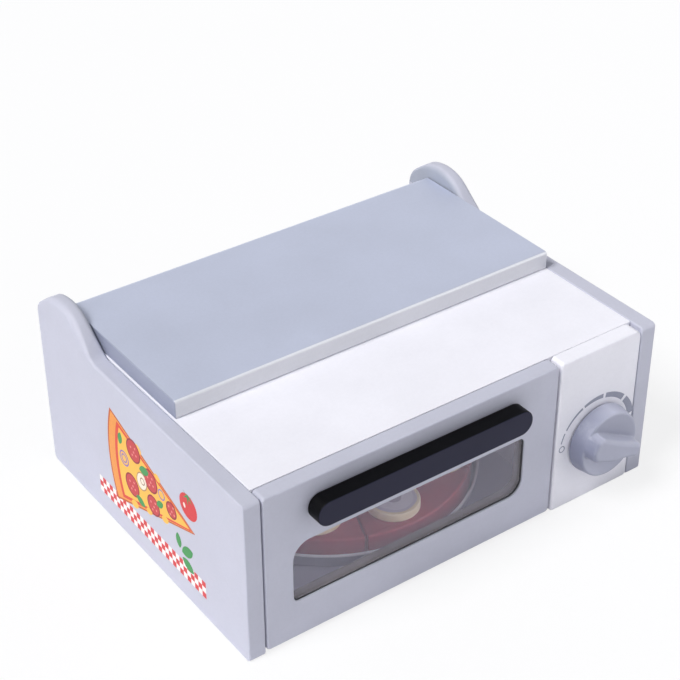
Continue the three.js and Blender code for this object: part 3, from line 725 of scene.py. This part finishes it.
def ring_mark(bm, start, end, inner_start, inner_end, outer, steps):
    """A flat arc between two angles in degrees, clockwise from straight up, in X and Y. Its inner
    radius changes evenly from start to end."""
    turn = -math.radians(end - start)
    first = math.pi / 2 - math.radians(start)
    edge = [bm.verts.new((r * math.cos(first), r * math.sin(first), 0)) for r in (1, outer)]
    bmesh.ops.spin(bm, geom=edge + [bm.edges.new(edge)], cent=(0, 0, 0), axis=(0, 0, 1),
                   angle=turn, steps=steps, use_merge=end - start == 360)
    # The inner edge is spun at a radius of 1 m, so that it is easily told from all other points.
    for vert in [v for v in bm.verts if abs(v.co.length - 1) < 1e-4]:
        swept = (first - math.atan2(vert.co.y, vert.co.x)) % (2 * math.pi)
        share = min(1, swept / abs(turn)) if swept < 2 * math.pi - 1e-4 else 0
        vert.co *= inner_start + (inner_end - inner_start) * share


def ink_film(bm, name, ink, slot, axis, face, film, sunk):
    """Makes flat shapes in X and Y a film of ink on a face across an axis, sunk a hair into it."""
    thicken(bm, film + sunk)
    bmesh.ops.translate(bm, vec=(0, 0, face - film), verts=bm.verts[:])
    bmesh.ops.transform(bm, matrix=axis_turns[axis], verts=bm.verts[:])
    return finish_piece(bm, name, ink, "cabinet", slot)


slate_ink = printing_ink("slate_screen_ink", "#9A9DAE")
mark_outer = 26.2 * mm
off_ring_inner, off_ring_outer = 1.5 * mm, 2.05 * mm
off_ring_reach, off_ring_angle = 24.6 * mm, math.radians(90 + 86)
bm = bmesh.new()
# Each mark's first and last angle, and its thickness in millimetres at both.
for start, end, thick_start, thick_end in (
        (-78, -64, 0.7, 0.8), (-60, -28, 0.9, 1.5), (-25, 5, 1.7, 2.6),
        (9, 43, 2.9, 3.5), (48, 78, 3.7, 4.4), (83, 112, 4.6, 5.2)):
    ring_mark(bm, start, end, mark_outer - thick_start * mm, mark_outer - thick_end * mm,
              mark_outer, steps=14)
off_mark = bmesh.new()
ring_mark(off_mark, 0, 360, off_ring_inner, off_ring_inner, off_ring_outer, steps=28)
bmesh.ops.translate(off_mark, vec=(off_ring_reach * math.cos(off_ring_angle),
                                   off_ring_reach * math.sin(off_ring_angle), 0),
                    verts=off_mark.verts[:])
off_mesh = bpy.data.meshes.new("off_mark")
off_mark.to_mesh(off_mesh)
off_mark.free()
bm.from_mesh(off_mesh)
bmesh.ops.translate(bm, vec=(knob_axis.x, knob_axis.z, 0), verts=bm.verts[:])
ink_film(bm, "dial_marks", slate_ink, "black_paint", "Y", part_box("control_panel")[0].y,
         film=0.03 * mm, sunk=0.02 * mm)


# Side print: screen-printed inks on the left panel, one film over another. A pizza slice lies
# over a red and white check strip, with a tomato and basil leaves beside its tip. Places are
# millimetres from the print's lower rear corner.
print_rear, print_foot = 44 * mm, 13 * mm
slice_tip = (98, 36)


def arc(across, up, radius, start=0, end=351, stretch=1.0, turn=0, steps=39):
    """Points on an arc or a closed spot, stretched along its own X and then turned."""
    c, s = math.cos(math.radians(turn)), math.sin(math.radians(turn))
    points = []
    for i in range(steps + 1):
        a = math.radians(start + (end - start) * i / steps)
        x, y = radius * stretch * math.cos(a), radius * math.sin(a)
        points.append((across + x * c - y * s, up + x * s + y * c))
    return points


def flat_ring(across, up, outer, inner):
    """The two halves of a flat ring."""
    return [arc(across, up, outer, a, a + 180) + arc(across, up, inner, a + 180, a)
            for a in (0, 180)]


def leaf(across, up, length, turn, half=56):
    """A pointed leaf from its stem, between two arcs of twice the half angle. They stop one degree
    short of the tips, so that their end points don't meet."""
    c, s = math.cos(math.radians(turn)), math.sin(math.radians(turn))
    radius = 0.5 * length / math.sin(math.radians(half))
    points = []
    for side in (1, -1):
        away = side * radius * math.cos(math.radians(half))
        middle = turn + side * 90
        points += arc(across + 0.5 * length * c + away * s, up + 0.5 * length * s - away * c,
                      radius, middle - half + 1, middle + half - 1)
    return points


def star(across, up, rays):
    """A flat star with points (angle, reach) round a place."""
    return [(across + r * math.cos(math.radians(a)), up + r * math.sin(math.radians(a)))
            for a, r in rays]


def wedge(back, radius, half_angle):
    """A slice with its tip to the front, set back from the print's slice tip."""
    x, y = slice_tip
    return [(x - back, y)] + arc(x - back, y, radius, 180 - half_angle, 180 + half_angle)


def checks(odd, rows=3, columns=30, size=3.5):
    """Every second square of the strip along the print's foot."""
    corners = ((0, 0), (size, 0), (size, size), (0, size))
    return [[(column * size + i, row * size + j) for i, j in corners]
            for row in range(rows) for column in range(columns) if (row + column) % 2 == odd]


salami_spots = ((41, 51, 6.9), (37, 27, 6.9), (56.5, 42, 6.9), (58, 27.5, 6.1), (76, 36.5, 5))
fat_spots = ((-2.4, 1.2), (1.9, 2.5), (0.4, -0.6), (-1.2, -3), (2.6, -1.6))
cheese_drips = ((38, 15.2, 2.4, 20), (53, 20.6, 2, 20), (69, 26, 2.2, 20),
                (46, 55.4, 2.2, -20), (64, 48.8, 1.9, -20))
leaves = ((84, 16, 12, 30), (84, 12.4, 11, -20), (82, 17, 9, 100), (46, 43, 10, 20),
          (68, 35, 8, 215), (27, 47, 8, 80), (49, 20.5, 9, 165))
calyx = ((0, 1.2), (20, 4), (-10, 1.4), (-34, 5), (-62, 1.5), (-90, 5.4), (-118, 1.5),
         (-146, 5), (190, 1.4), (160, 4), (180, 1.2), (90, 1))
for name, hex_colour, slot, layer, outlines in (
        ("white_checks", "#F4F1EE", "white_paint", 0, checks(0)),
        ("red_checks", "#D8393B", "red_paint", 0, checks(1)),
        ("crust_edge", "#C4581F", "bare_wood", 1, [wedge(0, 84, 20.2)]),
        ("tomato", "#D8393B", "red_paint", 1, [arc(93, 50, 7.4, stretch=1.08)]),
        ("crust", "#EE9A45", "bare_wood", 2, [wedge(2, 80.8, 19.9)]),
        ("sauce", "#DE4632", "red_paint", 3, [wedge(2.6, 74, 19.2)]),
        ("cheese", "#F9C04E", "bare_wood", 4,
         [wedge(5, 69, 18.2)] + [arc(x, y, r, stretch=1.5, turn=a) for x, y, r, a in cheese_drips]),
        ("salami_rim", "#8F2530", "red_paint", 5, [arc(*spot) for spot in salami_spots]),
        ("mushroom_rim", "#B98A5A", "bare_wood", 5, [arc(47.5, 36, 5, stretch=1.25, turn=60)]),
        ("salami", "#C93F43", "red_paint", 6, [arc(x, y, r - 0.9) for x, y, r in salami_spots]),
        ("mushroom", "#F6E9D6", "white_paint", 6, [arc(47.5, 36, 4.3, stretch=1.27, turn=60)]),
        ("fat", "#E58A84", "red_paint", 7,
         [arc(x + i, y + j, 0.7) for x, y, _ in salami_spots for i, j in fat_spots]),
        ("gills", "#9A7650", "bare_wood", 7, flat_ring(48.2, 36.4, 2.2, 1.6)),
        ("onion", "#8A6FB8", "black_paint", 7, flat_ring(67, 40.3, 3.2, 2.4)
         + flat_ring(30.5, 40, 4.6, 3.7) + flat_ring(30.5, 40, 2.7, 1.9)),
        ("basil", "#3E9650", "black_paint", 7,
         [leaf(*place) for place in leaves] + [star(93, 56.6, calyx)]),
        ("shine", "#F6E9DF", "white_paint", 7, [arc(89.4, 49, 1.5, stretch=0.6, turn=20)])):
    bm = bmesh.new()
    for outline in outlines:
        bm.faces.new([bm.verts.new((print_rear - x * mm, print_foot + y * mm, 0))
                      for x, y in outline])
    ink_film(bm, "print_" + name, printing_ink(name + "_ink", hex_colour), slot, "X",
             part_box("left_side_panel")[0].x + print_recess,
             film=(0.012 + 0.011 * layer) * mm, sunk=0.01 * mm)


# Pan: a round pan pressed from tinned sheet, with a flat floor and a low flared wall. Its rim is
# rolled into a bead, coloured white all round: a painted highlight.
def tinned_sheet(name, hex_colour, roughness):
    """Pressed tinned steel: a bright cool metal with soft smears of about 14 mm."""
    material, tree = blank_material(name)
    where = add_node(tree, "ShaderNodeTexCoord")
    smear = add_node(tree, "ShaderNodeTexNoise",
                     {"Vector": where.outputs["Object"], "Scale": 1 / (14 * mm), "Detail": 4.0})
    tone = add_node(tree, "ShaderNodeMapRange",
                    {"Value": smear.outputs[0], "To Min": 0.86, "To Max": 1.05})
    colour = add_node(tree, "ShaderNodeMix",
                      {"Factor": 1.0, 6: linear(hex_colour), 7: tone.outputs[0]},
                      data_type="RGBA", blend_type="MULTIPLY")
    gloss = add_node(tree, "ShaderNodeMapRange",
                     {"Value": smear.outputs[0], "To Min": roughness - 0.07,
                      "To Max": roughness + 0.12})
    surface = add_node(tree, "ShaderNodeBsdfPrincipled",
                       {"Base Color": colour.outputs[2], "Metallic": 1.0,
                        "Roughness": gloss.outputs[0]})
    add_node(tree, "ShaderNodeOutputMaterial", {"Surface": surface.outputs[0]})
    return material


tinned_steel = tinned_sheet("tinned_sheet_steel", "#C9CBD2", 0.3)
rim_highlight_paint = water_paint("white_rim_painted_highlight", "#FDFDFF", 0.2)
low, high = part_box("pizza_pan")
pan_centre = (low + high) / 2
pan_radius = (high.x - low.x) / 2
sheet, bead, wall_flare = 0.9 * mm, 0.8 * mm, 0.3 * mm
floor_radius = pan_radius - bead - wall_flare
wall_radius = pan_radius - 0.9 * bead
wall_top = high.z - 2 * bead
bead_overlap = 0.4 * mm
# The fold between floor and wall, in millimetres from the floor's radius and from below.
fold = [(floor_radius + r * mm, low.z + z * mm) for r, z in ((-1.5, 0), (-0.4, 0.4), (0.1, 1.5))]
rolled = [(pan_radius - bead + bead * math.cos(math.radians(angle)),
           high.z - bead + bead * math.sin(math.radians(angle))) for angle in range(-50, 161, 30)]
profile = ([(0, low.z)] + fold + [(wall_radius, wall_top + bead_overlap)] + rolled
           + [(wall_radius - sheet, wall_top - bead_overlap)]
           + [(r - sheet, z + sheet) for r, z in reversed(fold)] + [(0, low.z + sheet)])
bm = turned(profile, steps=144)
# The bead above the wall takes the white: a painted highlight along the rim.
for face in bm.faces:
    face.material_index = int(face.calc_center_median().z > wall_top)
bmesh.ops.translate(bm, vec=(pan_centre.x, pan_centre.y, 0), verts=bm.verts[:])
pan = finish_piece(bm, "pizza_pan_pressed", tinned_steel, "cabinet", "tinned_steel", "pizza_pan")
pan.data.materials.append(rim_highlight_paint)


# Pizza: six wooden slices in tomato-red paint, sawn from one disc, with rounded edges. They lie
# loose in the pan, side by side.
def round_rim(bm, rounding, steps):
    """Rounds all the sharp edges of a sawn piece."""
    rim = [e for e in bm.edges if e.calc_face_angle(0) > math.radians(40)]
    bmesh.ops.bevel(bm, geom=rim, offset=rounding, offset_type="OFFSET", segments=steps,
                    profile=0.5, affect="EDGES", material=-1)


# Its rounded edges are paler: painted highlights.
red_paint = water_paint("tomato_red_water_paint", "#A82638", 0.36, "#CF6F74", 0.25)
slice_margin, half_gap = 3.7 * mm, 0.3 * mm
first_cut = math.radians(-110.5)
for number in range(6):
    node = "pizza_slice_%d" % (number + 1)
    low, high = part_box(node)
    bm = bmesh.new()
    bmesh.ops.create_circle(bm, cap_ends=True, radius=pan_radius - slice_margin, segments=180)
    for cut, sign in ((number, 1), (number + 1, -1)):
        angle = first_cut + cut * math.pi / 3
        inward = Vector((-math.sin(angle), math.cos(angle), 0)) * sign
        bmesh.ops.bisect_plane(bm, geom=bm.verts[:] + bm.edges[:] + bm.faces[:], dist=mm / 1e4,
                               plane_co=inward * half_gap, plane_no=inward, clear_inner=True)
    thicken(bm, high.z - low.z)
    round_rim(bm, rounding=1.1 * mm, steps=4)
    bmesh.ops.translate(bm, vec=(pan_centre.x, pan_centre.y, low.z), verts=bm.verts[:])
    finish_piece(bm, node + "_painted", red_paint, "cabinet", "red_paint", node)


# Toppings: six wooden discs left bare on the side, one lying on each slice. Their tops are printed
# in flat inks as mushroom, salami, tomato, courgette, onion and pepper.
def printed_topping(name, centre, prints):
    """A bare maple disc with a printed top: flat ink in rings by distance from the centre, ragged
    by about 0.3 mm, and wood grain on the bare parts."""
    material = bare_wood(name, "#FDF0D2", "#F3DEB4")
    tree = material.node_tree
    surface = next(n for n in tree.nodes if n.type == "BSDF_PRINCIPLED")
    bare = surface.inputs["Base Color"].links[0].from_socket
    where = add_node(tree, "ShaderNodeTexCoord")
    centred = add_node(tree, "ShaderNodeMapping", {"Vector": where.outputs["Object"],
                       "Location": (-centre.x, -centre.y, 0)})
    flat = add_node(tree, "ShaderNodeVectorMath", {0: centred.outputs[0], 1: (1, 1, 0)},
                    operation="MULTIPLY")
    reach = add_node(tree, "ShaderNodeVectorMath", {0: flat.outputs[0]}, operation="LENGTH")
    rag = add_node(tree, "ShaderNodeTexNoise",
                   {"Vector": where.outputs["Object"], "Scale": 1 / (2.5 * mm), "Detail": 2.0})
    ragged = add_node(tree, "ShaderNodeMath", {0: rag.outputs[0], 1: 0.7 * mm},
                      operation="MULTIPLY")
    radius = add_node(tree, "ShaderNodeMath", {0: reach.outputs["Value"], 1: ragged.outputs[0]},
                      operation="ADD")
    colour = bare
    for ring_radius, hex_colour in prints:
        inside = add_node(tree, "ShaderNodeMath", {0: radius.outputs[0], 1: ring_radius * mm},
                          operation="LESS_THAN")
        layer = add_node(tree, "ShaderNodeMix",
                         {"Factor": inside.outputs[0], 6: colour, 7: linear(hex_colour)},
                         data_type="RGBA")
        colour = layer.outputs[2]
    normal = add_node(tree, "ShaderNodeSeparateXYZ", {0: where.outputs["Normal"]})
    upward = add_node(tree, "ShaderNodeMath", {0: normal.outputs["Z"], 1: 0.9},
                      operation="GREATER_THAN")
    printed = add_node(tree, "ShaderNodeMix",
                       {"Factor": upward.outputs[0], 6: bare, 7: colour}, data_type="RGBA")
    tree.links.new(printed.outputs[2], surface.inputs["Base Color"])
    return material


# Each print's inks from the outside in, with their radii in millimetres.
for number, prints in enumerate((
        ((12.4, "#D6CFDB"), (10.6, "#E6E1E9"), (4.5, "#BDB3C3")),
        ((12.6, "#8E2A26"), (11.6, "#C24A3C"), (2.0, "#E2A58C")),
        ((12.6, "#C22B22"), (10.9, "#E8705A"), (3.4, "#F2B59A")),
        ((12.6, "#4F8A3C"), (11.4, "#D9E2A6"), (5.6, "#C3D28A")),
        ((12.6, "#7A4E8C"), (11.6, "#EFE4EE"), (8.4, "#A886B4"), (7.6, "#F1E8F0")),
        ((12.6, "#D99A1E"), (9.6, "#F0C850"), (5.2, "#E3D6B2")))):
    node = "topping_disc_%d" % (number + 1)
    low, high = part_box(node)
    centre = (low + high) / 2
    bm = bmesh.new()
    bmesh.ops.create_circle(bm, cap_ends=True, radius=(high.x - low.x) / 2, segments=72)
    thicken(bm, high.z - low.z)
    round_rim(bm, rounding=0.7 * mm, steps=3)
    bmesh.ops.translate(bm, vec=(centre.x, centre.y, low.z), verts=bm.verts[:])
    maple = printed_topping("printed_maple_%d" % (number + 1), centre, prints)
    finish_piece(bm, node + "_printed", maple, "cabinet", "bare_wood", node)
